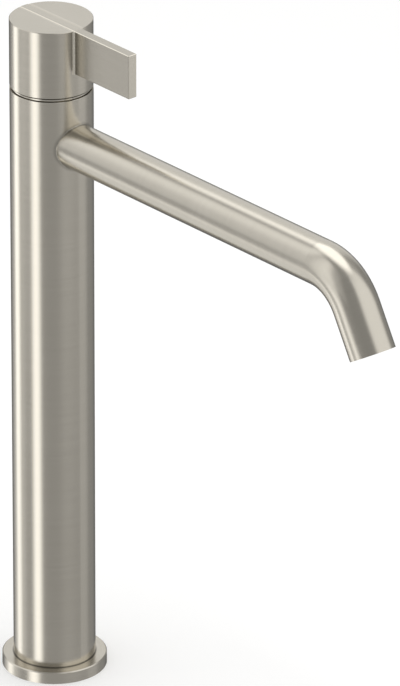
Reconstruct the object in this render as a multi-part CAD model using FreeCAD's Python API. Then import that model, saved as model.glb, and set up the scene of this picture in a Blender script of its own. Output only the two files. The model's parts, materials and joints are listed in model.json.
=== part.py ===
import FreeCAD, Part
import math
import os

# Tall single-lever basin mixer. Millimetres, +Z up, origin on the column's axis at deck level,
# the spout and the lever both point along +X. Hot water comes in on the -Y side.

# Column, base flange and the foot that carries them
column_dia = 40.0
column_wall = 2.0
column_edge = 0.1
flange_dia = 51.0
flange_height = 6.0
flange_edge = 0.5
flange_slip = 0.05        # radial, flange over column
foot_height = 2.0         # the insert's shoulder, which the column stands on
foot_lip = 1.5            # how far that shoulder reaches out under the flange
foot_play = 0.1
insert_height = 18.0
insert_slip = 0.05
seal_lip = 1.0            # flange material left outside the base seal
seal_width = 1.6
seal_depth = 1.5

# Spout
spout_height = 280.0      # axis above the deck
spout_dia = 22.2
spout_wall = 1.6
bend_start = 194.0        # from the column's axis
bend_radius = 28.0        # centreline
bend_angle = 60.0
outlet_leg = 22.85
collar_end = 26.0         # the column's own stub, which the spout tube butts on
collar_fillet = 0.3

# Aerator in the spout's mouth
aerator_bore_dia = 20.0
aerator_setback = 0.8
aerator_length = 9.0
aerator_wall = 1.4
aerator_slip = 0.05
aerator_seal_height = 1.5
jet_length = 5.0
jet_setback = 0.6
jet_hole = 2.0            # across flats
jet_web = 0.55
jet_rings = 3

# Cap, blade and the ring in the gap
head_rise = 24.7          # column top above the spout's axis
cap_gap = 1.8
cap_height = 33.5
cap_top_edge = 0.25
cap_bottom_edge = 0.15
cap_wall = 3.5
cap_roof = 5.0
cap_pocket_offset = 8.5   # the web that carries the blade is twice this wide
blade_height = 22.0
blade_thickness = 5.0
blade_reach = 59.5        # tip from the column's axis
blade_edge = 0.3
blade_cove = 1.1          # hollow radius where the blade lands on the cap's face
slot_play = 0.02
slot_edge = 0.3
ring_seat_drop = 0.4      # valve body's top below the column's top
ring_groove = 0.4         # open groove between column and ring
ring_play = 0.7           # running gap between ring and cap
ring_setback = 0.8        # ring inside the column's face
ring_inner_dia = 32.4

# Valve body and water ways
valve_drop = 22.0         # bottom below the spout's axis
valve_slip = 0.3
port_x = 4.5
port_y = 9.0
port_bore_dia = 9.0       # tapping bore of the M10 x 1 hose ports
port_depth = 10.0
port_throat_dia = 6.4
port_throat = 1.5
riser_dia = 10.0
riser_wall = 1.0
riser_slip = 0.05
riser_socket = 8.0
riser_end_play = 0.3
way_dia = 6.4
slant_way_dia = 4.8
slant_start_drop = 6.5    # slanted ways start this far below the cartridge seat
spout_way_dia = 9.0
nipple_thread_dia = 13.0
nipple_thread_start = 11.0
nipple_face = 16.5        # spot face on the valve body, from the column's axis
nipple_end = 34.0
nipple_slip = 0.1
nipple_seal_from_end = 3.0
seal_section = 1.5
body_seal_section = 1.8
seal_free = 0.01
squeezed_share = 0.5      # of a ring's section that lies flat on its walls
groove_side = 0.15

# Cartridge
seat_depth = 14.3         # seat below the valve body's top
cartridge_dia = 24.8
cartridge_slip = 0.1
cartridge_base_height = 5.0
inlet_x = 3.5
inlet_y = 6.0
inlet_dia = 4.8
outlet_x = -6.0
outlet_dia = 6.0
inlet_seal_width = 1.0
inlet_seal_height = 1.0
disc_height = 3.0
disc_dia = 20.4
disc_slip = 0.2
disc_play = 0.05
chamber_depth = 1.4
chamber_dia = 17.0
carrier_height = 2.5
carrier_pin_dia = 2.4
carrier_pin_length = 1.5
carrier_pin_y = 7.0
tongue_length = 8.0
tongue_width = 3.0
tongue_depth = 2.0
housing_shoulder_rise = 7.0
housing_neck_dia = 22.4
housing_neck_wall = 1.6
housing_roof = 2.4
running_gap = 0.3
nut_thread_dia = 30.4
nut_thread_slip = 0.05
nut_engagement = 6.0
nut_flats = 27.0
nut_over_housing = 0.2

# Stem and its stops
stem_flange_height = 2.0
stem_flange_dia = 14.6
stem_neck_dia = 8.6
stem_neck_fit = 0.1
spline_teeth = 20
spline_dia = 8.0
spline_depth = 0.45
spline_fit = 0.08
stem_top_play = 1.0
stop_lug_width = 40.0     # degrees
stop_play = 1.0           # degrees beyond each end of the turn
handle_travel = 100.0     # degrees, anticlockwise from above
stem_seal_section = 0.95

# Adapter and screws in the cap
adapter_dia = 13.0
adapter_slip = 0.02
adapter_top_play = 0.1
cap_over_nut = 0.8
grub_dia = 5.0
grub_slip = 0.05
grub_rise = 4.3           # above the adapter's lower end
grub_setback = 0.8
grub_flats = 2.5
grub_socket_depth = 2.5
blade_screw_x = 11.0
blade_screw_dia = 3.0
blade_screw_hole_slip = 0.2
blade_screw_thread_slip = 0.02
blade_screw_head_dia = 5.6
blade_screw_head_height = 1.7
blade_screw_reach = 8.0   # into the blade
blade_screw_flats = 2.0
blade_screw_socket_depth = 1.2
blade_screw_hole_spare = 0.5

# Fixing kit, drawn up for one deck thickness
deck_thickness = 20.0
stud_dia = 8.0
stud_x = -9.5
stud_slip = 0.05
stud_hole_depth = 14.0
stud_end_play = 0.2
stud_below_deck = 60.0
clamp_dia = 48.0
clamp_slot_width = 29.0
clamp_slot_start = -3.0
clamp_slot_corner = 6.0
clamp_hole_slip = 0.3
clamp_gasket_height = 2.0
clamp_washer_height = 2.0
clamp_washer_inset = 0.5
fixing_nut_flats = 13.0
fixing_nut_height = 16.0

# Radii, levels and places that follow from the sizes above
column_radius = column_dia / 2
column_bore = column_radius - column_wall
spout_radius = spout_dia / 2
spout_bore = spout_radius - spout_wall
column_top = spout_height + head_rise
cap_bottom = column_top + cap_gap
cap_top = cap_bottom + cap_height
valve_bottom = spout_height - valve_drop
valve_top = column_top - ring_seat_drop
valve_radius = column_bore - valve_slip
riser_radius = riser_dia / 2
riser_low = port_depth + port_throat
seat_level = valve_top - seat_depth
disc_level = seat_level + cartridge_base_height
moving_disc_level = disc_level + disc_height + disc_play
carrier_level = moving_disc_level + disc_height
stem_level = carrier_level + carrier_height
housing_inner_top = stem_level + stem_flange_height + running_gap
housing_top = housing_inner_top + housing_roof
housing_shoulder = disc_level + housing_shoulder_rise
housing_bore = disc_dia / 2 + disc_slip
housing_neck_bore = housing_neck_dia / 2 - housing_neck_wall
nut_top = housing_top + nut_over_housing
nut_bottom = valve_top - nut_engagement
cap_floor = nut_top + cap_over_nut
blade_seat = cap_top - blade_height
stem_top = blade_seat - stem_top_play
grub_level = cap_floor + grub_rise
ports = [(port_x, -port_y), (port_x, port_y)]
inlets = [(inlet_x, -inlet_y), (inlet_x, inlet_y)]
water_holes = [(x, y, inlet_dia / 2) for x, y in inlets] + [(outlet_x, 0, outlet_dia / 2)]
bend_centre = FreeCAD.Vector(bend_start, 0, spout_height - bend_radius)
outflow = FreeCAD.Vector(math.cos(math.radians(bend_angle)), 0, -math.sin(math.radians(bend_angle)))
across = FreeCAD.Vector(-outflow.z, 0, outflow.x)
outlet_centre = bend_centre + across * bend_radius + outflow * outlet_leg

up = FreeCAD.Vector(0, 0, 1)
origin = FreeCAD.Vector(0, 0, 0)


def rod(radius, low, high, x=0.0, y=0.0):
    return Part.makeCylinder(radius, high - low, FreeCAD.Vector(x, y, low))


def tube(outer, inner, low, high, x=0.0, y=0.0):
    return rod(outer, low, high, x, y).cut(rod(inner, low, high, x, y))


def level_rod(radius, start, end, height):
    return Part.makeCylinder(radius, end - start, FreeCAD.Vector(start, 0, height), FreeCAD.Vector(1, 0, 0))


def bore_between(first, second, radius):
    run = second - first
    return Part.makeCylinder(radius, run.Length, first, run)


def block(low, high):
    size = high - low
    return Part.makeBox(size.x, size.y, size.z, low)


def turned(profile, angle=360.0):
    """Turn a closed outline of (radius, height) points about Z."""
    points = [FreeCAD.Vector(radius, 0, height) for radius, height in profile]
    return Part.Face(Part.makePolygon(points + points[:1])).revolve(origin, up, angle)


def sector(inner, outer, low, high, start, end):
    piece = turned([(inner, low), (outer, low), (outer, high), (inner, high)], end - start)
    piece.rotate(origin, up, start)
    return piece


def prism(points, low, high):
    outline = [FreeCAD.Vector(x, y, low) for x, y in points]
    return Part.Face(Part.makePolygon(outline + outline[:1])).extrude(up * (high - low))


def hexagon(flats, x=0.0, y=0.0):
    corner = flats / 2 / math.cos(math.pi / 6)
    angles = [math.radians(60 * step + 30) for step in range(6)]
    return [(x + corner * math.cos(angle), y + corner * math.sin(angle)) for angle in angles]


def spline_outline(radius, depth):
    points = []
    for step in range(2 * spline_teeth):
        angle = math.pi * step / spline_teeth
        reach = radius - depth * (step % 2)
        points.append((reach * math.cos(angle), reach * math.sin(angle)))
    return points


def seal(inner, section, height, x=0.0, y=0.0):
    """A rubber ring squeezed flat where it meets its groove and the wall it seals."""
    low = inner + seal_free
    middle = inner + section / 2
    high = inner + section - seal_free
    flat = section * squeezed_share / 2
    bulge = section / 2
    ring = turned([(low, -flat), (middle, -bulge), (high, -flat), (high, flat), (middle, bulge), (low, flat)])
    ring.translate(FreeCAD.Vector(x, y, height))
    return ring


def groove(inner, outer, section, height, x=0.0, y=0.0):
    half = section / 2 + groove_side
    return tube(outer, inner, height - half, height + half, x, y)


def soften_rim(shape, radius, height, size):
    """Break the circular edges of one radius at one height."""
    picked = []
    for edge in shape.Edges:
        if isinstance(edge.Curve, Part.Circle) and abs(edge.Curve.Center.z - height) < 1e-6:
            if abs(edge.Curve.Radius - radius) < 1e-6:
                picked.append(edge)
    return shape.makeChamfer(size, picked)


def bent_rod(radius, start):
    """A round bar along the spout's centreline, from a place on its level run to the outlet."""
    run = level_rod(radius, start, bend_start, spout_height)
    section = Part.Face(Part.Wire(Part.makeCircle(
        radius, FreeCAD.Vector(bend_start, 0, spout_height), FreeCAD.Vector(1, 0, 0))))
    bend = section.revolve(bend_centre, FreeCAD.Vector(0, 1, 0), bend_angle)
    leg = Part.makeCylinder(radius, outlet_leg, bend_centre + across * bend_radius, outflow)
    return run.fuse([bend, leg]).removeSplitter()


def at_outlet(shape):
    """Move a shape made about Z, with +Z as the outflow, to the spout's mouth."""
    shape.rotate(origin, FreeCAD.Vector(0, 1, 0), 90 + bend_angle)
    shape.translate(outlet_centre)
    return shape


def along_spout(shape):
    """Move a shape made about Z to the spout's level axis, with heights measured from the column's axis."""
    shape.rotate(origin, FreeCAD.Vector(0, 1, 0), 90)
    shape.translate(FreeCAD.Vector(0, 0, spout_height))
    return shape


def make_column():
    outside = rod(column_radius, foot_height, column_top)
    outside = outside.fuse(level_rod(spout_radius, 0, collar_end, spout_height))
    saddle = [edge for edge in outside.Edges if isinstance(edge.Curve, Part.BSplineCurve)]
    outside = outside.makeFillet(collar_fillet, saddle)
    outside = soften_rim(outside, column_radius, column_top, column_edge)
    hollow = rod(column_bore, foot_height, column_top)
    return outside.cut([hollow, level_rod(spout_bore, 0, collar_end, spout_height)])


def make_base_flange():
    outer = flange_dia / 2
    plate = soften_rim(rod(outer, 0, flange_height), outer, flange_height, flange_edge)
    hole = rod(column_radius + flange_slip, 0, flange_height)
    step = rod(column_radius + foot_lip + foot_play, 0, foot_height + foot_play)
    seal_outer = outer - seal_lip
    return plate.cut([hole, step, tube(seal_outer, seal_outer - seal_width, 0, seal_depth)])


def make_base_seal():
    seal_outer = flange_dia / 2 - seal_lip
    return tube(seal_outer, seal_outer - seal_width, 0, seal_depth)


def make_base_insert():
    insert = rod(column_radius + foot_lip, 0, foot_height)
    insert = insert.fuse(rod(column_bore - insert_slip, foot_height, insert_height))
    cuts = [rod(stud_dia / 2 + stud_slip, 0, stud_hole_depth, stud_x)]
    seal_height = (riser_low + insert_height) / 2
    for x, y in ports:
        cuts.append(rod(port_bore_dia / 2, 0, port_depth, x, y))
        cuts.append(rod(port_throat_dia / 2, port_depth, riser_low, x, y))
        cuts.append(rod(riser_radius + riser_slip, riser_low, insert_height, x, y))
        cuts.append(groove(riser_radius, riser_radius + seal_section, seal_section, seal_height, x, y))
    return insert.cut(cuts).removeSplitter()


def make_riser(x, y):
    low = riser_low + riser_end_play
    high = valve_bottom + riser_socket - riser_end_play
    return tube(riser_radius, riser_radius - riser_wall, low, high, x, y)


def make_riser_seals():
    low = (riser_low + insert_height) / 2
    high = valve_bottom + riser_socket / 2
    rings = [seal(riser_radius, seal_section, height, x, y) for x, y in ports for height in (low, high)]
    return Part.makeCompound(rings)


def body_seal_heights():
    lower = spout_height - spout_radius - body_seal_section / 2 - collar_fillet / 2
    upper = nut_bottom
    return [lower, upper]


def make_valve_body():
    body = rod(valve_radius, valve_bottom, valve_top)
    socket_top = valve_bottom + riser_socket
    cuts = [
        rod(cartridge_dia / 2 + cartridge_slip, seat_level, valve_top),
        rod(nut_thread_dia / 2, nut_bottom, valve_top),
        rod(outlet_dia / 2, spout_height, seat_level, outlet_x),
        level_rod(spout_way_dia / 2, outlet_x - outlet_dia / 2, nipple_thread_start, spout_height),
        level_rod(nipple_thread_dia / 2, nipple_thread_start, column_radius, spout_height),
        level_rod(spout_bore, nipple_face, column_radius, spout_height),
    ]
    for height in body_seal_heights():
        cuts.append(groove(column_bore - body_seal_section, column_radius, body_seal_section, height))
    slant_start = seat_level - slant_start_drop
    for (x, y), (seat_x, seat_y) in zip(ports, inlets):
        cuts.append(rod(riser_radius + riser_slip, valve_bottom, socket_top, x, y))
        cuts.append(groove(riser_radius, riser_radius + seal_section, seal_section,
                           valve_bottom + riser_socket / 2, x, y))
        cuts.append(rod(way_dia / 2, socket_top, slant_start + way_dia / 4, x, y))
        below = FreeCAD.Vector(x, y, slant_start)
        seat = FreeCAD.Vector(seat_x, seat_y, seat_level)
        above = seat + (seat - below) * 0.2
        cuts.append(bore_between(below, above, slant_way_dia / 2))
    return body.cut(cuts)


def make_valve_body_seals():
    inner = column_bore - body_seal_section
    return Part.makeCompound([seal(inner, body_seal_section, height) for height in body_seal_heights()])


def make_spout_tube():
    shell = bent_rod(spout_radius, collar_end).cut(bent_rod(spout_bore, collar_end))
    depth = aerator_setback + aerator_length + aerator_seal_height
    return shell.cut(at_outlet(rod(aerator_bore_dia / 2, -depth, 0)))


def nipple_seal_place():
    return nipple_end - nipple_seal_from_end


def make_spout_nipple():
    thread = nipple_thread_dia / 2 - nipple_slip / 2
    barrel = spout_bore - nipple_slip
    way = spout_way_dia / 2
    body = turned([
        (way, nipple_thread_start), (thread, nipple_thread_start), (thread, nipple_face),
        (barrel, nipple_face), (barrel, nipple_end), (barrel - spout_wall, nipple_end),
        (way, nipple_face + foot_height),
    ])
    floor = spout_bore - seal_section
    return along_spout(body.cut(groove(floor, spout_radius, seal_section, nipple_seal_place())))


def make_nipple_seal():
    return along_spout(seal(spout_bore - seal_section, seal_section, nipple_seal_place()))


def make_aerator_housing():
    outer = aerator_bore_dia / 2 - aerator_slip
    front = -aerator_setback
    back = front - aerator_length
    inner = outer - aerator_wall
    ledge = front - jet_setback - jet_length
    shell = turned([
        (inner, front), (outer, front), (outer, back),
        (inner - aerator_wall, back), (inner - aerator_wall, ledge), (inner, ledge),
    ])
    return at_outlet(shell)


def make_aerator_insert():
    """Honeycomb jet former that fills the housing's mouth."""
    radius = aerator_bore_dia / 2 - aerator_slip - aerator_wall - aerator_slip
    front = -aerator_setback - jet_setback
    pitch = jet_hole + jet_web
    cells = []
    for column in range(-jet_rings, jet_rings + 1):
        for row in range(-jet_rings, jet_rings + 1):
            if abs(column + row) <= jet_rings:
                x = pitch * (column + row / 2)
                y = pitch * row * math.sqrt(3) / 2
                cells.append(prism(hexagon(jet_hole, x, y), front - jet_length, front))
    return at_outlet(rod(radius, front - jet_length, front).cut(cells))


def make_aerator_seal():
    outer = aerator_bore_dia / 2 - aerator_slip
    back = -aerator_setback - aerator_length
    return at_outlet(tube(outer, outer - 2 * aerator_wall, back - aerator_seal_height, back))


def make_trim_ring():
    inner = ring_inner_dia / 2
    outer = column_radius - ring_setback
    low = column_top + ring_groove
    high = cap_bottom - ring_play
    return turned([
        (inner, valve_top), (valve_radius, valve_top), (valve_radius, low),
        (outer, low), (outer, high), (inner, high),
    ])


def make_cartridge_base():
    base = rod(cartridge_dia / 2, seat_level, disc_level)
    cuts = []
    for x, y, radius in water_holes:
        cuts.append(rod(radius, seat_level, disc_level, x, y))
        cuts.append(rod(radius + inlet_seal_width, seat_level, seat_level + inlet_seal_height, x, y))
    return base.cut(cuts)


def make_inlet_seals():
    top = seat_level + inlet_seal_height
    rings = [tube(radius + inlet_seal_width, radius, seat_level, top, x, y) for x, y, radius in water_holes]
    return Part.makeCompound(rings)


def make_fixed_disc():
    disc = rod(disc_dia / 2, disc_level, disc_level + disc_height)
    return disc.cut([rod(radius, disc_level, disc_level + disc_height, x, y) for x, y, radius in water_holes])


def make_moving_disc():
    """Ceramic disc with a half-moon mixing chamber below and two pin holes above."""
    top = moving_disc_level + disc_height
    disc = rod(disc_dia / 2, moving_disc_level, top)
    chamber = sector(0, chamber_dia / 2, moving_disc_level, moving_disc_level + chamber_depth, 95, 265)
    pins = [rod(carrier_pin_dia / 2, top - carrier_pin_length, top, 0, y) for y in (-carrier_pin_y, carrier_pin_y)]
    return disc.cut([chamber] + pins)


def tongue(play):
    half_length = tongue_length / 2 + play
    half_width = tongue_width / 2 + play
    low = FreeCAD.Vector(-half_length, -half_width, stem_level - tongue_depth)
    return block(low, FreeCAD.Vector(half_length, half_width, stem_level))


def make_disc_carrier():
    plate = rod(housing_neck_bore - running_gap, carrier_level, stem_level)
    pins = []
    for y in (-carrier_pin_y, carrier_pin_y):
        pins.append(rod(carrier_pin_dia / 2, carrier_level - carrier_pin_length, carrier_level, 0, y))
    return plate.fuse(pins).cut(tongue(disc_play)).removeSplitter()


def make_cartridge_stem():
    """Splined stem with the tongue that turns the carrier and the lug that meets the stops."""
    flange_top = stem_level + stem_flange_height
    neck_top = cap_floor
    lug_start = 180 - stop_lug_width / 2
    neck = rod(stem_neck_dia / 2, flange_top, neck_top)
    seal_level = (housing_inner_top + housing_top) / 2
    floor = stem_neck_dia / 2 - stem_seal_section
    neck = neck.cut(groove(floor, stem_neck_dia, stem_seal_section, seal_level))
    lug_reach = housing_neck_bore - running_gap
    return rod(stem_flange_dia / 2, stem_level, flange_top).fuse([
        tongue(0),
        sector(0, lug_reach, stem_level, flange_top, lug_start, lug_start + stop_lug_width),
        neck,
        prism(spline_outline(spline_dia / 2, spline_depth), neck_top, stem_top),
    ]).removeSplitter()


def make_stem_seal():
    seal_level = (housing_inner_top + housing_top) / 2
    return seal(stem_neck_dia / 2 - stem_seal_section, stem_seal_section, seal_level)


def make_cartridge_housing():
    outer = cartridge_dia / 2
    neck = housing_neck_dia / 2
    bore_top = moving_disc_level + disc_height + running_gap
    hole = stem_neck_dia / 2 + stem_neck_fit
    shell = turned([
        (housing_bore, disc_level), (outer, disc_level), (outer, housing_shoulder),
        (neck, housing_shoulder), (neck, housing_top), (hole, housing_top),
        (hole, housing_inner_top), (housing_neck_bore, housing_inner_top),
        (housing_neck_bore, bore_top), (housing_bore, bore_top),
    ])
    stop_start = 180 + stop_lug_width / 2 + handle_travel + stop_play
    stop_end = 540 - stop_lug_width / 2 - stop_play
    inner = stem_flange_dia / 2 + running_gap
    stop = sector(inner, housing_neck_bore, stem_level, housing_inner_top, stop_start, stop_end)
    return shell.fuse(stop).removeSplitter()


def make_cartridge_nut():
    thread = nut_thread_dia / 2 - nut_thread_slip
    body = rod(thread, nut_bottom, valve_top).fuse(prism(hexagon(nut_flats), valve_top, nut_top))
    over_neck = rod(housing_neck_dia / 2 + cartridge_slip, housing_shoulder, nut_top)
    over_skirt = rod(cartridge_dia / 2 + cartridge_slip, nut_bottom, housing_shoulder)
    return body.cut([over_neck, over_skirt]).removeSplitter()


def cap_slot():
    half = blade_thickness / 2 + slot_play
    low = FreeCAD.Vector(-column_radius, -half, blade_seat)
    return block(low, FreeCAD.Vector(column_radius, half, cap_top))


def softened_slot_edges():
    """The small chamfers along both lips of the slot."""
    half = blade_thickness / 2 + slot_play
    flare = prism([(-half - slot_edge, 0), (half + slot_edge, 0), (half, -slot_edge), (-half, -slot_edge)],
                  -column_radius, column_radius)
    flare.rotate(origin, FreeCAD.Vector(1, 0, 0), 90)
    flare.rotate(origin, up, 90)
    flare.translate(up * cap_top)
    return flare


def blade_screw_cone():
    place = FreeCAD.Vector(blade_screw_x, 0, cap_floor)
    return Part.makeCone(blade_screw_head_dia / 2, blade_screw_dia / 2, blade_screw_head_height, place)


def make_handle_cap():
    cap = rod(column_radius, cap_bottom, cap_top)
    cap = soften_rim(cap, column_radius, cap_top, cap_top_edge)
    cap = soften_rim(cap, column_radius, cap_bottom, cap_bottom_edge)
    inner = column_radius - cap_wall
    pockets = rod(inner, cap_floor, cap_top - cap_roof)
    web_low = FreeCAD.Vector(-column_radius, -cap_pocket_offset, cap_floor)
    web = block(web_low, FreeCAD.Vector(column_radius, cap_pocket_offset, cap_top))
    return cap.cut([
        rod(inner, cap_bottom, cap_floor),
        pockets.cut(web),
        cap_slot(),
        softened_slot_edges(),
        rod(adapter_dia / 2, cap_floor, blade_seat),
        rod(blade_screw_dia / 2 + blade_screw_hole_slip, cap_floor, blade_seat, blade_screw_x),
        blade_screw_cone(),
        level_rod(grub_dia / 2, -column_radius, 0, grub_level),
    ])


def blade_root_cove(side):
    """Hollow fillet between one side of the blade and the cap's round face."""
    half = blade_thickness / 2
    centre_y = half + blade_cove
    centre_x = math.sqrt((column_radius + blade_cove) ** 2 - centre_y ** 2)
    touch_y = centre_y * column_radius / (column_radius + blade_cove)
    low = FreeCAD.Vector(column_radius - blade_cove, half - blade_cove, blade_seat)
    cove = block(low, FreeCAD.Vector(centre_x, touch_y, cap_top - blade_edge))
    cove = cove.cut([rod(blade_cove, blade_seat, cap_top, centre_x, centre_y), rod(column_radius, 0, cap_top)])
    if side < 0:
        cove = cove.mirror(origin, FreeCAD.Vector(0, 1, 0))
    return cove


def make_lever_blade():
    """Flat bar let into the cap; its rear end follows the cap's round face."""
    half = blade_thickness / 2
    low = FreeCAD.Vector(-column_radius, -half, blade_seat)
    bar = block(low, FreeCAD.Vector(blade_reach, half, cap_top))
    soft = []
    for edge in bar.Edges:
        long_edge = edge.Length > blade_reach
        at_tip = edge.BoundBox.XMin > blade_reach - 1e-6
        if long_edge or at_tip:
            soft.append(edge)
    bar = bar.makeChamfer(blade_edge, soft)
    front = FreeCAD.Vector(0, -column_radius, 0)
    keep = rod(column_radius, 0, cap_top).fuse(
        block(front, FreeCAD.Vector(blade_reach, column_radius, cap_top)))
    bar = bar.common(keep).fuse([blade_root_cove(1), blade_root_cove(-1)])
    hole_top = blade_seat + blade_screw_reach + blade_screw_hole_spare
    hole_radius = blade_screw_dia / 2 + blade_screw_thread_slip
    return bar.cut(rod(hole_radius, blade_seat, hole_top, blade_screw_x)).removeSplitter()


def make_blade_screw():
    shank = rod(blade_screw_dia / 2, cap_floor, blade_seat + blade_screw_reach, blade_screw_x)
    socket = prism(hexagon(blade_screw_flats, blade_screw_x), cap_floor, cap_floor + blade_screw_socket_depth)
    return shank.fuse(blade_screw_cone()).cut(socket).removeSplitter()


def make_handle_adapter():
    bush = rod(adapter_dia / 2 - adapter_slip, cap_floor, blade_seat - adapter_top_play)
    splines = prism(spline_outline(spline_dia / 2 + spline_fit, spline_depth), cap_floor, blade_seat)
    return bush.cut([splines, level_rod(grub_dia / 2, -adapter_dia, 0, grub_level)])


def make_grub_screw():
    tip = -spline_dia / 2 - grub_slip
    tail = -column_radius + grub_setback
    screw = level_rod(grub_dia / 2 - grub_slip, tail, tip, grub_level)
    socket = prism(hexagon(grub_flats), tail, tail + grub_socket_depth)
    socket.rotate(origin, FreeCAD.Vector(0, 1, 0), 90)
    socket.translate(up * grub_level)
    return screw.cut(socket)


def make_fixing_stud():
    return rod(stud_dia / 2, -stud_below_deck, stud_hole_depth - stud_end_play, stud_x)


def horseshoe(radius, low, high):
    """Round plate with a wide slot for the hoses, open towards +X, and a hole for the stud."""
    half = clamp_slot_width / 2
    slot = block(FreeCAD.Vector(clamp_slot_start, -half, low), FreeCAD.Vector(clamp_dia, half, high))
    corners = []
    for edge in slot.Edges:
        box = edge.BoundBox
        if box.XMax < clamp_slot_start + 1e-6 and box.YLength < 1e-6:
            corners.append(edge)
    slot = slot.makeFillet(clamp_slot_corner, corners)
    return rod(radius, low, high).cut([slot, rod(stud_dia / 2 + clamp_hole_slip, low, high, stud_x)])


def make_clamp_gasket():
    return horseshoe(clamp_dia / 2, -deck_thickness - clamp_gasket_height, -deck_thickness)


def make_clamp_washer():
    top = -deck_thickness - clamp_gasket_height
    return horseshoe(clamp_dia / 2 - clamp_washer_inset, top - clamp_washer_height, top)


def make_fixing_nut():
    top = -deck_thickness - clamp_gasket_height - clamp_washer_height
    nut = prism(hexagon(fixing_nut_flats, stud_x), top - fixing_nut_height, top)
    return nut.cut(rod(stud_dia / 2 + stud_slip, top - fixing_nut_height, top, stud_x))


nodes = {
    "column": make_column(),
    "base_flange": make_base_flange(),
    "base_seal": make_base_seal(),
    "base_insert": make_base_insert(),
    "hot_riser_tube": make_riser(port_x, -port_y),
    "cold_riser_tube": make_riser(port_x, port_y),
    "riser_seals": make_riser_seals(),
    "valve_body": make_valve_body(),
    "valve_body_seals": make_valve_body_seals(),
    "spout_tube": make_spout_tube(),
    "spout_nipple": make_spout_nipple(),
    "nipple_seal": make_nipple_seal(),
    "aerator_housing": make_aerator_housing(),
    "aerator_insert": make_aerator_insert(),
    "aerator_seal": make_aerator_seal(),
    "trim_ring": make_trim_ring(),
    "cartridge_base": make_cartridge_base(),
    "inlet_seals": make_inlet_seals(),
    "fixed_disc": make_fixed_disc(),
    "cartridge_housing": make_cartridge_housing(),
    "cartridge_nut": make_cartridge_nut(),
    "moving_disc": make_moving_disc(),
    "disc_carrier": make_disc_carrier(),
    "cartridge_stem": make_cartridge_stem(),
    "stem_seal": make_stem_seal(),
    "handle_adapter": make_handle_adapter(),
    "grub_screw": make_grub_screw(),
    "handle_cap": make_handle_cap(),
    "lever_blade": make_lever_blade(),
    "blade_screw": make_blade_screw(),
    "fixing_stud": make_fixing_stud(),
    "clamp_gasket": make_clamp_gasket(),
    "clamp_washer": make_clamp_washer(),
    "fixing_nut": make_fixing_nut(),
}

os.makedirs("parts", exist_ok=True)
for name, shape in nodes.items():
    shape.exportStep("parts/" + name + ".step")
    print(name, len(shape.Solids), "solid(s),", round(shape.Volume), "mm3, valid", shape.isValid())
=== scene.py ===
import json
from math import cos, floor, pi, radians, sin, tan

import bmesh
import bpy
from mathutils import Matrix, Vector


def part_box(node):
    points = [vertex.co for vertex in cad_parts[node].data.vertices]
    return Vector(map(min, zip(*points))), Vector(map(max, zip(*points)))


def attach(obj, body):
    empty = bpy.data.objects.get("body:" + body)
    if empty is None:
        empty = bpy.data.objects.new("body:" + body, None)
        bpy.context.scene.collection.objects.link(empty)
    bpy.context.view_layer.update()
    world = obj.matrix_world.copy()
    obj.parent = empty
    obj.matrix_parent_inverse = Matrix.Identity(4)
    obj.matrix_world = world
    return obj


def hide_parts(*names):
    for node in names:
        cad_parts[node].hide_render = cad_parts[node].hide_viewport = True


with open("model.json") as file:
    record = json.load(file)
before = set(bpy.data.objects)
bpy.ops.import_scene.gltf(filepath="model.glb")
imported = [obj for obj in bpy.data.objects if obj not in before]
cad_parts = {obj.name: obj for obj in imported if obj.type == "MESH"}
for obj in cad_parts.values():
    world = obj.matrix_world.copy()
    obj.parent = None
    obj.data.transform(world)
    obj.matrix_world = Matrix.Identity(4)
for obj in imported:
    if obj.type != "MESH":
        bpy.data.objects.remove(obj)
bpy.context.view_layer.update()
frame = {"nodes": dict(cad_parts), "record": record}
nodes = frame["nodes"]
mm = 0.001
print("frame loaded:", len(nodes), "nodes")


class Wire:  # a shader socket that can stand in a sum
    def __init__(self, tree, socket):
        self.tree = tree
        self.socket = socket

    def step(self, operation, *others):
        return addNode(self.tree, "ShaderNodeMath", {"operation": operation}, [self, *others])

    def __add__(self, other):
        return self.step("ADD", other)

    def __mul__(self, other):
        return self.step("MULTIPLY", other)

    def __sub__(self, other):
        return self.step("SUBTRACT", other)

    def __rsub__(self, other):
        return self * -1 + other

    def __truediv__(self, other):
        return self.step("DIVIDE", other)

    def __rtruediv__(self, other):
        return addNode(self.tree, "ShaderNodeMath", {"operation": "DIVIDE"}, [other, self])

    __radd__ = __add__
    __rmul__ = __mul__

    def atMost(self, limit):
        return self.step("MINIMUM", limit)

    def atLeast(self, limit):
        return self.step("MAXIMUM", limit)


def addNode(tree, kind, settings=None, sockets=None, out=0):  # settings go in first, then values or links
    node = tree.nodes.new(kind)
    for key, value in (settings or {}).items():
        setattr(node, key, value)
    named = sockets.items() if isinstance(sockets, dict) else enumerate(sockets or [])
    for key, value in named:
        if isinstance(value, Wire):
            tree.links.new(value.socket, node.inputs[key])
        else:
            node.inputs[key].default_value = value
    if not len(node.outputs):
        return node
    return Wire(tree, node.outputs[out])


def smoothStep(value, low, high):
    return addNode(value.tree, "ShaderNodeMapRange", {"interpolation_type": "SMOOTHSTEP"},
                   {"Value": value, "From Min": low, "From Max": high})


def mixValues(factor, first, second):
    return factor * (second - first) + first


def mixColours(factor, first, second):  # by number, because the node's sockets share their names
    return addNode(factor.tree, "ShaderNodeMix", {"data_type": "RGBA"}, {0: factor, 6: first, 7: second}, 2)


def mixVectors(factor, first, second):
    sockets = {0: factor, 4: first, 5: second}
    return addNode(factor.tree, "ShaderNodeMix", {"data_type": "VECTOR"}, sockets, 1)


def joinXyz(tree, x, y, z):
    return addNode(tree, "ShaderNodeCombineXYZ", {}, [x, y, z])


def splitXyz(vector):
    node = addNode(vector.tree, "ShaderNodeSeparateXYZ", {}, [vector]).socket.node
    return [Wire(vector.tree, socket) for socket in node.outputs]


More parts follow.
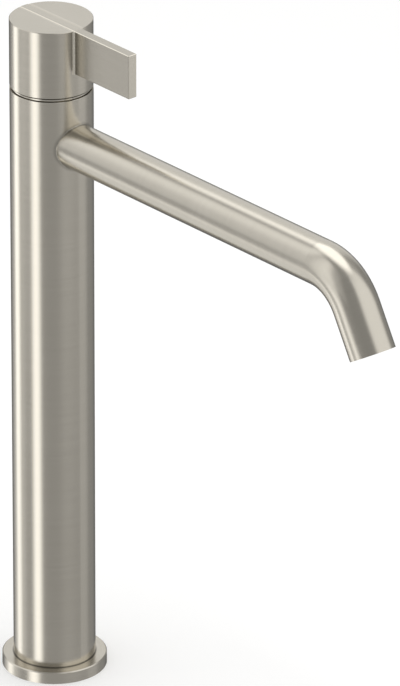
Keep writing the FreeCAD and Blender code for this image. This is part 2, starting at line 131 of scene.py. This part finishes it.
def placeOf(tree):  # a point's x, y and z in the part's own frame
    return splitXyz(addNode(tree, "ShaderNodeTexCoord", {}, None, "Object"))


def normalOf(tree):
    return splitXyz(addNode(tree, "ShaderNodeNewGeometry", {}, None, "Normal"))


def noise(tree, vector, detail, roughness=0.5):
    return addNode(tree, "ShaderNodeTexNoise", {},
                   {"Vector": vector, "Scale": 1.0, "Detail": detail, "Roughness": roughness})


def evenNoise(tree, x, y, z, perMetre, detail):
    return noise(tree, joinXyz(tree, x * perMetre, y * perMetre, z * perMetre), detail)


def bump(tree, height, depth, under=None):  # grooves of a depth, on top of others
    sockets = {"Strength": 1.0, "Distance": depth, "Height": height}
    if under:
        sockets["Normal"] = under
    return addNode(tree, "ShaderNodeBump", {}, sockets)


def newMaterial(name):
    material = bpy.data.materials.new(name)
    material.use_nodes = True
    tree = material.node_tree
    tree.nodes.clear()
    return material, tree


def finishMaterial(tree, colour, metallic, roughness, normal):
    surface = addNode(tree, "ShaderNodeBsdfPrincipled", {},
                      {"Base Color": colour, "Metallic": metallic, "Roughness": roughness, "Normal": normal})
    addNode(tree, "ShaderNodeOutputMaterial", {}, {"Surface": surface})


# Sizes read from the frame, in metres
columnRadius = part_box("column")[1].y
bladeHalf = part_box("lever_blade")[1].y
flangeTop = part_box("base_flange")[1].z
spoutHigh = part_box("spout_tube")[1]
spoutRadius = spoutHigh.y
spoutAxis = spoutHigh.z - spoutRadius

spoutForm = {
    "bendStart": 194 * mm,
    "bendRadius": 28 * mm,
    "bendAngle": radians(60),
}

nickel = {
    "colour": (0.645, 0.608, 0.532, 1),
    "dark": (0.615, 0.579, 0.503, 1),
    "roughness": 0.23,
    "roughnessSwing": 0.07,
    "linesPerMetre": 2600,  # the brush's lines
    "acrossPerMetre": 26,
    "lineDetail": 3.0,
    "lineRoughness": 0.65,
    "lineShare": 0.7,
    "cloudsAcross": 60,  # the broad uneven patches
    "cloudsUp": 25,
    "cloudDetail": 2.0,
    "streakRange": (0.3, 0.7),
    "grainDepth": 0.010 * mm,
    "facing": (0.75, 0.9),  # from where a face counts as a side or a top
    "flatFacing": (0.6, 0.8),
    "stubBlend": (0.2 * mm, 1.6 * mm),  # past the column, where the spout's rings take over
    "paintedFlankShade": 0.70,  # painted shade: the lever's flanks are darker than its tip
    # painted shade on the lever's top outside the cap
    "paintedTopShade": 0.92,
    "paintedTopShadeBlend": 1.0 * mm,
    # painted highlight on the lever's tip
    "paintedTipHighlight": 1.32,
    "paintedSlotHighlightShare": 0.14,  # how much brighter the painted highlight along the lips of the slot is
    "paintedSlotHighlightWidth": 0.35 * mm,
    "rootShade": 0.32,  # how much darker the painted shade in the corner round the spout's root is
    "rootReach": 1.8 * mm,
    "cornerShade": 0.38,  # and the painted shade on the lever's flanks beside the cap
    "cornerReach": 9.0 * mm,
    "jointShade": 0.50,  # and the painted shade along the line where the column stands in the flange
    "jointReach": 1.0 * mm,
}


def fromAxis(first, second):  # distance from an axis, from the two offsets across it
    return (first * first + second * second).step("SQRT")


def aroundColumn(tree, x, y, z):  # rings round an upright tube
    across = nickel["acrossPerMetre"]
    return joinXyz(tree, x * across, y * across, z * nickel["linesPerMetre"])


def aroundSpout(tree, x, y, z):  # rings round the bent tube, by the distance along its centreline
    start = spoutForm["bendStart"]
    radius = spoutForm["bendRadius"]
    angle = spoutForm["bendAngle"]
    centreZ = spoutAxis - radius
    turned = (x - start).step("ARCTAN2", z - centreZ).atLeast(0.0).atMost(angle)
    legX = start + radius * sin(angle)
    legZ = centreZ + radius * cos(angle)
    downLeg = ((x - legX) * cos(angle) - (z - legZ) * sin(angle)).atLeast(0.0)
    along = (x - start).atMost(0.0) + turned * radius + downLeg
    across = nickel["acrossPerMetre"]
    return joinXyz(tree, along * nickel["linesPerMetre"], y * across, z * across)


def alongBlade(tree, x, y, z):  # straight lines along the lever
    lines = nickel["linesPerMetre"]
    return joinXyz(tree, x * nickel["acrossPerMetre"], y * lines, z * lines)


def roundRings(tree, x, y, z):  # turned rings on a flat round face
    across = nickel["acrossPerMetre"]
    return joinXyz(tree, fromAxis(x, y) * nickel["linesPerMetre"], x * across, y * across)


def onStub(tree, x, y, z):  # 1 on the column's stub
    begin, end = nickel["stubBlend"]
    return smoothStep(x, columnRadius + begin, columnRadius + end)


def onFlat(tree, x, y, z):  # 1 on faces that look up or down
    return smoothStep(normalOf(tree)[2].step("ABSOLUTE"), *nickel["flatFacing"])


def paintShade(mask, shade):  # painted shade: a tone of 1 outside the mask, and less by the shade on it
    return mask * -shade + 1


def fadeOut(value, start, reach):  # 1 up to the start, 0 past the reach
    return 1 - smoothStep(value, start, start + reach)


def paintedSlotHighlight(y, top):  # painted highlight along both edges of the lever's slot, on the faces that look up
    offEdge = (y.step("ABSOLUTE") - bladeHalf).step("ABSOLUTE")
    lip = fadeOut(offEdge, 0.0, nickel["paintedSlotHighlightWidth"] * 2)
    return lip * smoothStep(top, *nickel["facing"]) * nickel["paintedSlotHighlightShare"] + 1


# painted highlight along the slot's edges on the cap
def capPaintedHighlight(tree, x, y, z):
    return paintedSlotHighlight(y, normalOf(tree)[2])


# painted light on the lever: shade on its flanks, on its top and beside the cap, highlight on its tip
def bladePaintedLight(tree, x, y, z):
    side, top = normalOf(tree)[1:]
    nearCap = fadeOut(x, columnRadius, nickel["cornerReach"])
    paintedFlankShade = paintShade(nearCap, nickel["cornerShade"]) * nickel["paintedFlankShade"]
    paintedLight = mixValues(smoothStep(side.step("ABSOLUTE"), *nickel["facing"]), nickel["paintedTipHighlight"], paintedFlankShade)
    outside = smoothStep(x, columnRadius - nickel["paintedTopShadeBlend"], columnRadius + nickel["paintedTopShadeBlend"])
    paintedTopShade = outside * (nickel["paintedTopShade"] - 1) + 1
    return mixValues(smoothStep(top, *nickel["facing"]), paintedLight, paintedTopShade) * paintedSlotHighlight(y, top)


def columnPaintedShade(tree, x, y, z):  # painted shade in the corner round the spout's root, and along the flange
    offColumn = fromAxis(x, y) - columnRadius
    offSpout = fromAxis(y, z - spoutAxis) - spoutRadius
    corner = fadeOut(offColumn.atLeast(offSpout), 0.0, nickel["rootReach"]) * x.step("GREATER_THAN", 0.0)
    joint = fadeOut(z, flangeTop, nickel["jointReach"])
    return paintShade(corner, nickel["rootShade"]) * paintShade(joint, nickel["jointShade"])


def flangePaintedShade(tree, x, y, z):  # painted shade beside the column
    return paintShade(fadeOut(fromAxis(x, y) - columnRadius, 0.0, nickel["jointReach"]), nickel["jointShade"])


def brushedNickel(name, first, second=None, share=None, paintedLight=None):
    material, tree = newMaterial(name)
    x, y, z = placeOf(tree)
    grainPlace = first(tree, x, y, z)
    if second:
        grainPlace = mixVectors(share(tree, x, y, z), grainPlace, second(tree, x, y, z))
    lines = noise(tree, grainPlace, nickel["lineDetail"], nickel["lineRoughness"])
    across = nickel["cloudsAcross"]
    clouds = noise(tree, joinXyz(tree, x * across, y * across, z * nickel["cloudsUp"]), nickel["cloudDetail"])
    streak = lines * nickel["lineShare"] + clouds * (1 - nickel["lineShare"])
    colour = mixColours(smoothStep(streak, *nickel["streakRange"]), nickel["dark"], nickel["colour"])
    # painted light and shade scale the colour here
    if paintedLight:
        paintedLightScale = {0: colour, "Scale": paintedLight(tree, x, y, z)}
        colour = addNode(tree, "ShaderNodeVectorMath", {"operation": "SCALE"}, paintedLightScale)
    roughness = (streak - 0.5) * nickel["roughnessSwing"] + nickel["roughness"]
    finishMaterial(tree, colour, 1.0, roughness, bump(tree, lines, nickel["grainDepth"]))
    return material


columnNickel = brushedNickel("nickel column", aroundColumn, aroundSpout, onStub, columnPaintedShade)
spoutNickel = brushedNickel("nickel spout", aroundSpout)
capNickel = brushedNickel("nickel cap", aroundColumn, alongBlade, onFlat, capPaintedHighlight)
bladeNickel = brushedNickel("nickel blade", alongBlade, paintedLight=bladePaintedLight)
flangeNickel = brushedNickel("nickel flange", aroundColumn, roundRings, onFlat, flangePaintedShade)
print("nickel brushed")


portThread = {
    "ports": ("hot_inlet", "cold_inlet"),
    "pitch": 1.0 * mm,
    "depth": 0.35 * mm,
    "outTo": 0.15 * mm,  # how far past the bore's wall the thread is painted
}

turning = {
    "colour": (0.78, 0.60, 0.30, 1),
    "tarnish": (0.60, 0.44, 0.20, 1),
    "tarnishRange": (0.35, 0.7),
    "tarnishPerMetre": 90,
    "tarnishDetail": 4.0,
    "ringsPerMetre": 3500,  # the lathe tool's rings
    "acrossPerMetre": 20,
    "ringDetail": 2.0,
    "ringDepth": 0.01 * mm,
    "roughness": 0.28,
    "roughnessSwing": 0.2,
}


def portGrooves(tree, x, y, z):  # the screw thread on the walls of both hose ports
    mounts = {mount["name"]: mount for mount in frame["record"]["mounts"]}
    grooves = []
    for name in portThread["ports"]:
        portX, portY, _ = mounts[name]["pos_m"]
        wall = mounts[name]["dims"]["r_mm"] * mm + portThread["outTo"]
        offX = x - portX
        offY = y - portY
        onWall = fadeOut(fromAxis(offX, offY), wall, portThread["outTo"])
        turns = offY.step("ARCTAN2", offX) * (0.5 / pi)
        wave = ((z * (1 / portThread["pitch"]) - turns) * (2 * pi)).step("SINE")
        grooves.append(wave * onWall)
    return grooves[0] + grooves[1]


def turnedBrass(name, grooves=None):  # fine tool rings from the lathe
    material, tree = newMaterial(name)
    x, y, z = placeOf(tree)
    across = turning["acrossPerMetre"]
    ringPlace = joinXyz(tree, x * across, y * across, z * turning["ringsPerMetre"])
    rings = noise(tree, ringPlace, turning["ringDetail"])
    tarnish = evenNoise(tree, x, y, z, turning["tarnishPerMetre"], turning["tarnishDetail"])
    colour = mixColours(smoothStep(tarnish, *turning["tarnishRange"]), turning["colour"], turning["tarnish"])
    normal = bump(tree, rings, turning["ringDepth"])
    if grooves:
        normal = bump(tree, grooves(tree, x, y, z), portThread["depth"], normal)
    roughness = (tarnish - 0.5) * turning["roughnessSwing"] + turning["roughness"]
    finishMaterial(tree, colour, 1.0, roughness, normal)
    return material


brass = turnedBrass("turned brass")
portBrass = turnedBrass("turned brass with threads", portGrooves)
print("brass turned")


mottle = {
    "detail": 3.0,
    "range": (0.3, 0.7),
}

mottledFinishes = {
    "black rubber": {
        "colour": (0.030, 0.030, 0.031, 1), "second": (0.045, 0.045, 0.045, 1), "metallic": 0.0,
        "roughness": 0.62, "swing": 0.15, "perMetre": 700, "depth": 0.02 * mm,
    },
    "white acetal": {
        "colour": (0.80, 0.80, 0.775, 1), "second": (0.74, 0.74, 0.71, 1), "metallic": 0.0,
        "roughness": 0.42, "swing": 0.1, "perMetre": 400, "depth": 0.01 * mm,
    },
    "grey acetal": {
        "colour": (0.26, 0.27, 0.28, 1), "second": (0.22, 0.23, 0.24, 1), "metallic": 0.0,
        "roughness": 0.45, "swing": 0.1, "perMetre": 400, "depth": 0.01 * mm,
    },
    "lapped ceramic": {
        "colour": (0.86, 0.86, 0.83, 1), "second": (0.82, 0.82, 0.79, 1), "metallic": 0.0,
        "roughness": 0.12, "swing": 0.05, "perMetre": 900, "depth": 0.003 * mm,
    },
    "zinc plate": {
        "colour": (0.66, 0.67, 0.68, 1), "second": (0.55, 0.57, 0.59, 1), "metallic": 1.0,
        "roughness": 0.32, "swing": 0.15, "perMetre": 260, "depth": 0.008 * mm,
    },
}


def mottledFinish(name):
    finish = mottledFinishes[name]
    material, tree = newMaterial(name)
    x, y, z = placeOf(tree)
    patches = evenNoise(tree, x, y, z, finish["perMetre"], mottle["detail"])
    colour = mixColours(smoothStep(patches, *mottle["range"]), finish["colour"], finish["second"])
    roughness = (patches - 0.5) * finish["swing"] + finish["roughness"]
    finishMaterial(tree, colour, finish["metallic"], roughness, bump(tree, patches, finish["depth"]))
    return material


rubber = mottledFinish("black rubber")
whitePlastic = mottledFinish("white acetal")
greyPlastic = mottledFinish("grey acetal")
ceramic = mottledFinish("lapped ceramic")
zinc = mottledFinish("zinc plate")

finishes = {
    "column": columnNickel, "spout_tube": spoutNickel, "handle_cap": capNickel, "lever_blade": bladeNickel,
    "base_flange": flangeNickel, "trim_ring": capNickel,
    "base_seal": rubber, "riser_seals": rubber, "valve_body_seals": rubber, "nipple_seal": rubber,
    "aerator_seal": rubber, "inlet_seals": rubber, "stem_seal": rubber, "clamp_gasket": rubber,
    "base_insert": portBrass, "hot_riser_tube": brass, "cold_riser_tube": brass, "valve_body": brass,
    "spout_nipple": brass, "cartridge_nut": brass, "cartridge_stem": brass, "handle_adapter": brass,
    "aerator_housing": greyPlastic, "cartridge_housing": greyPlastic,
    "aerator_insert": whitePlastic, "cartridge_base": whitePlastic, "disc_carrier": whitePlastic,
    "fixed_disc": ceramic, "moving_disc": ceramic,
    "grub_screw": zinc, "blade_screw": zinc, "fixing_stud": zinc, "clamp_washer": zinc, "fixing_nut": zinc,
}


def dress(piece, material):
    piece.data.materials.clear()
    piece.data.materials.append(material)
    for face in piece.data.polygons:
        face.material_index = 0


for name, material in finishes.items():
    dress(nodes[name], material)
print("finishes:", len(finishes), "nodes")


def ringMesh(name, rings, hollow=False):  # skin over rings of as many points: capped, or back to the first
    mesh = bmesh.new()
    rows = [[mesh.verts.new(point) for point in ring] for ring in rings]
    count = len(rows[0])
    for row, following in zip(rows, rows[1:] + rows[:1] if hollow else rows[1:]):
        for index in range(count):
            after = (index + 1) % count
            mesh.faces.new((row[index], row[after], following[after], following[index]))
    if not hollow:
        mesh.faces.new(list(reversed(rows[0])))
        mesh.faces.new(rows[-1])
    bmesh.ops.recalc_face_normals(mesh, faces=mesh.faces)
    data = bpy.data.meshes.new(name)
    mesh.to_mesh(data)
    mesh.free()
    piece = bpy.data.objects.new(name, data)
    bpy.context.scene.collection.objects.link(piece)
    return piece


studThread = {
    "pitch": 1.25 * mm,
    "depth": 0.62 * mm,
    "flatShare": 0.125,  # how far the slopes run on past the flat crest and root
    "around": 48,
    "stepsPerPitch": 8,
    "endChamfer": 0.7 * mm,
}


def makeStud():
    low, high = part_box("fixing_stud")
    centre = (low + high) / 2
    outer = (high.x - low.x) / 2
    pitch = studThread["pitch"]
    over = studThread["flatShare"]
    steps = round((high.z - low.z) / pitch * studThread["stepsPerPitch"])
    rings = []
    for step in range(steps + 1):
        height = low.z + (high.z - low.z) * step / steps
        fromEnd = min(height - low.z, high.z - height)
        limit = outer - max(0.0, studThread["endChamfer"] - fromEnd)
        ring = []
        for index in range(studThread["around"]):
            turn = index / studThread["around"]
            phase = (height - low.z) / pitch - turn
            saw = abs(2 * (phase - floor(phase)) - 1)
            groove = min(1.0, max(0.0, saw * (1 + 2 * over) - over))
            radius = min(outer - studThread["depth"] * groove, limit)
            angle = 2 * pi * turn
            ring.append((centre.x + radius * cos(angle), centre.y + radius * sin(angle), height))
        rings.append(ring)
    piece = ringMesh("stud_thread", rings)
    dress(piece, zinc)
    for face in piece.data.polygons:
        face.use_smooth = len(face.vertices) == 4
    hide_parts("fixing_stud")
    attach(piece, "tap_body")


makeStud()
print("stud thread cut")


nut = {
    "around": 96,
    "faceShare": 0.95,  # the flat ring of each end, as a share of the width across the flats
    "cornerAngle": radians(30),
    "boreChamfer": 0.5 * mm,
    "boreGap": 0.03 * mm,  # between the stud's crests and the bore
}


def makeNut():
    low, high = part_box("fixing_nut")
    studLow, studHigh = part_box("fixing_stud")
    centre = (low + high) / 2
    half = min(high.x - low.x, high.y - low.y) / 2
    side = pi / 3  # the turn that one flat takes up
    firstFlat = 0 if high.x - low.x > high.y - low.y else side / 2
    bore = (studHigh.x - studLow.x) / 2 + nut["boreGap"]
    wide = bore + nut["boreChamfer"]
    face = half * nut["faceShare"]

    def ring(radiusOf, heightOf):
        points = []
        for index in range(nut["around"]):
            angle = 2 * pi * index / nut["around"]
            hexRadius = half / cos((angle + firstFlat) % side - side / 2)
            radius = radiusOf(hexRadius)
            height = heightOf(hexRadius)
            points.append((centre.x + radius * cos(angle), centre.y + radius * sin(angle), height))
        return points

    def drop(hexRadius):
        return (hexRadius - face) * tan(nut["cornerAngle"])

    piece = ringMesh("chamfered_nut", [
        ring(lambda r: bore, lambda r: low.z + nut["boreChamfer"]),
        ring(lambda r: wide, lambda r: low.z),
        ring(lambda r: face, lambda r: low.z),
        ring(lambda r: r, lambda r: low.z + drop(r)),
        ring(lambda r: r, lambda r: high.z - drop(r)),
        ring(lambda r: face, lambda r: high.z),
        ring(lambda r: wide, lambda r: high.z),
        ring(lambda r: bore, lambda r: high.z - nut["boreChamfer"]),
    ], hollow=True)
    dress(piece, zinc)
    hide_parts("fixing_nut")
    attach(piece, "tap_body")


makeNut()
print("nut chamfered")


view = {
    "azimuth": 49.31,
    "elevation": 24.921,
    "roll": 0.128,
    "distance": 4181.1 * mm,
    "focalPixels": 8715.5,
    "targetAcross": 70.557 * mm,
    "targetHeight": 170.877 * mm,
    "imageHeight": 686,
    "sensor": 36.0,
}


def makeCamera():
    azimuth = radians(view["azimuth"])
    elevation = radians(view["elevation"])
    roll = radians(view["roll"])
    back = Vector((sin(azimuth) * cos(elevation), -cos(azimuth) * cos(elevation), sin(elevation)))
    right = Vector((cos(azimuth), sin(azimuth), 0))
    above = back.cross(right)
    turnedRight = right * cos(roll) + above * sin(roll)
    turnedAbove = above * cos(roll) - right * sin(roll)
    target = right * view["targetAcross"] + Vector((0, 0, view["targetHeight"]))
    place = target + back * view["distance"]
    data = bpy.data.cameras.new("photo view")
    data.sensor_width = view["sensor"]
    data.lens = view["focalPixels"] / view["imageHeight"] * view["sensor"]
    camera = bpy.data.objects.new("photo view", data)
    bpy.context.scene.collection.objects.link(camera)
    axes = Matrix((turnedRight, turnedAbove, back)).transposed().to_4x4()
    camera.matrix_world = Matrix.Translation(place) @ axes
    bpy.context.scene.camera = camera


floorSheet = {
    "radius": 14.0,
    "segments": 96,
    "drop": 0.02 * mm,
    "colour": (0.93, 0.93, 0.925, 1),
    "glow": 0.10,
}


def makeFloor():
    mesh = bmesh.new()
    rim = {"segments": floorSheet["segments"], "radius": floorSheet["radius"]}
    bmesh.ops.create_circle(mesh, cap_ends=True, **rim)
    data = bpy.data.meshes.new("floor")
    mesh.to_mesh(data)
    mesh.free()
    floorPiece = bpy.data.objects.new("floor", data)
    floorPiece.location.z = -floorSheet["drop"]
    bpy.context.scene.collection.objects.link(floorPiece)
    material, tree = newMaterial("pale floor")
    diffuse = addNode(tree, "ShaderNodeBsdfDiffuse", {}, {"Color": floorSheet["colour"]})
    glow = addNode(tree, "ShaderNodeEmission", {}, {"Strength": floorSheet["glow"]})
    both = addNode(tree, "ShaderNodeAddShader", {}, [diffuse, glow])
    clear = addNode(tree, "ShaderNodeBsdfTransparent")
    underneath = addNode(tree, "ShaderNodeNewGeometry", {}, None, "Backfacing")
    shown = addNode(tree, "ShaderNodeMixShader", {}, [underneath, both, clear])  # clear from below
    addNode(tree, "ShaderNodeOutputMaterial", {}, {"Surface": shown})
    data.materials.append(material)
    floorPiece.visible_glossy = False


overheadBox = {
    "forward": 0.1,
    "height": 2.3,
    "size": 1.3,
    "power": 16.0,
}


def makeLamp():
    data = bpy.data.lights.new("overhead box", "AREA")
    data.shape = "SQUARE"
    data.size = overheadBox["size"]
    data.energy = overheadBox["power"]
    lamp = bpy.data.objects.new("overhead box", data)
    lamp.location = (overheadBox["forward"], 0, overheadBox["height"])
    lamp.visible_glossy = False  # the metal sees the soft boxes of the world instead
    bpy.context.scene.collection.objects.link(lamp)


studio = {
    "room": 0.325,  # the even light between the boxes
    "ambient": 0.75,
    "lowSoftness": 4.5,  # degrees, at the lower ends of the standing boxes
    "leastFlat": 0.001,  # these two keep the divisions off zero
    "leastHeight": 0.05,
}

ceilingBox = {  # the round soft box above and behind, seen from the tap as shares of its height
    "back": 0.45,
    "right": -0.05,
    "depth": 0.52,
    "width": 0.41,
    "lean": 0.30,
    "core": 0.8,
    "rim": 1.45,
    "strength": 1.45,
}

# The standing boxes in degrees, with azimuths counted from the camera's:
# azimuth, half width, softness of the sides, lower end, upper end, softness of the upper end, strength
standingBoxes = {
    "left strip": (-75, 12, 8, -21, 62, 5, 0.72),
    "strip foot": (-76, 7, 5, -20, -9, 5, 0.45),
    "upper left glow": (-54, 12, 10, 10, 62, 12, 0.20),
    "left window": (-112, 13, 10, -3, 60, 10, 0.76),
    "right wall": (67, 43, 11, -19, 70, 18, 0.70),
    "upper right glow": (128, 12, 10, 34, 70, 10, 0.12),
    "low right strip": (94, 12, 10, -95, -14, 6, 0.16),
    "low left strip": (-46, 9, 7.5, -95, -12, 4, 1.43),
    "low left window": (-113, 8.5, 6, -28, -18, 6, 1.60),
    "left floor": (-114, 25, 12, -95, -24, 9, 0.56),
    "back wall": (180, 27, 12, 2, 50, 10, 0.50),
    "front floor": (5, 60, 25, -95, -14, 8, 0.08),
    "black card behind": (180, 28, 18, -95, -4, 5, -0.16),
}


def ceilingLight(x, y, z):
    turn = radians(view["azimuth"])
    height = z.atLeast(studio["leastHeight"])
    behind = (y * cos(turn) - x * sin(turn)) / height
    aside = (x * cos(turn) + y * sin(turn)) / height
    deep = (behind - ceilingBox["back"]) * (1 / ceilingBox["depth"])
    lean = (behind - ceilingBox["back"]) * ceilingBox["lean"]
    wide = (aside + lean - ceilingBox["right"]) * (1 / ceilingBox["width"])
    outward = fromAxis(deep, wide)
    lit = (1 - smoothStep(outward, ceilingBox["core"], ceilingBox["rim"])) * z.step("GREATER_THAN", 0.0)
    return lit * ceilingBox["strength"]


def standingLight(x, y, flat, height, box):
    azimuth, halfWidth, sideSoftness, low, high, highSoftness, strength = box
    heading = radians(azimuth + view["azimuth"]) - pi / 2
    facing = (x * cos(heading) + y * sin(heading)) / flat
    edges = halfWidth + sideSoftness, halfWidth - sideSoftness
    beside = smoothStep(facing, *[cos(radians(edge)) for edge in edges])
    lowSoftness = studio["lowSoftness"]
    above = smoothStep(height, radians(low - lowSoftness), radians(low + lowSoftness))
    below = 1 - smoothStep(height, radians(high - highSoftness), radians(high + highSoftness))
    return beside * above * below * strength


def makeWorld():  # white to the camera, an even room to the floor, soft boxes to the metal
    world = bpy.data.worlds.new("studio")
    bpy.context.scene.world = world
    world.use_nodes = True
    tree = world.node_tree
    tree.nodes.clear()
    x, y, z = splitXyz(addNode(tree, "ShaderNodeTexCoord", {}, None, "Generated"))
    flat = fromAxis(x, y).atLeast(studio["leastFlat"])
    height = z.step("ARCSINE")
    light = ceilingLight(x, y, z) + studio["room"]
    for box in standingBoxes.values():
        light = light + standingLight(x, y, flat, height, box)
    glossy = addNode(tree, "ShaderNodeLightPath", {}, None, "Is Glossy Ray")
    seen = addNode(tree, "ShaderNodeLightPath", {}, None, "Is Camera Ray")
    strength = mixValues(glossy, studio["ambient"], light)
    strength = mixValues(seen, strength, 1.0)
    background = addNode(tree, "ShaderNodeBackground", {}, {"Color": (1, 1, 1, 1), "Strength": strength})
    addNode(tree, "ShaderNodeOutputWorld", {}, {"Surface": background})


makeCamera()
makeFloor()
makeLamp()
makeWorld()
bpy.context.scene.view_settings.view_transform = "Standard"
print("camera and studio set")
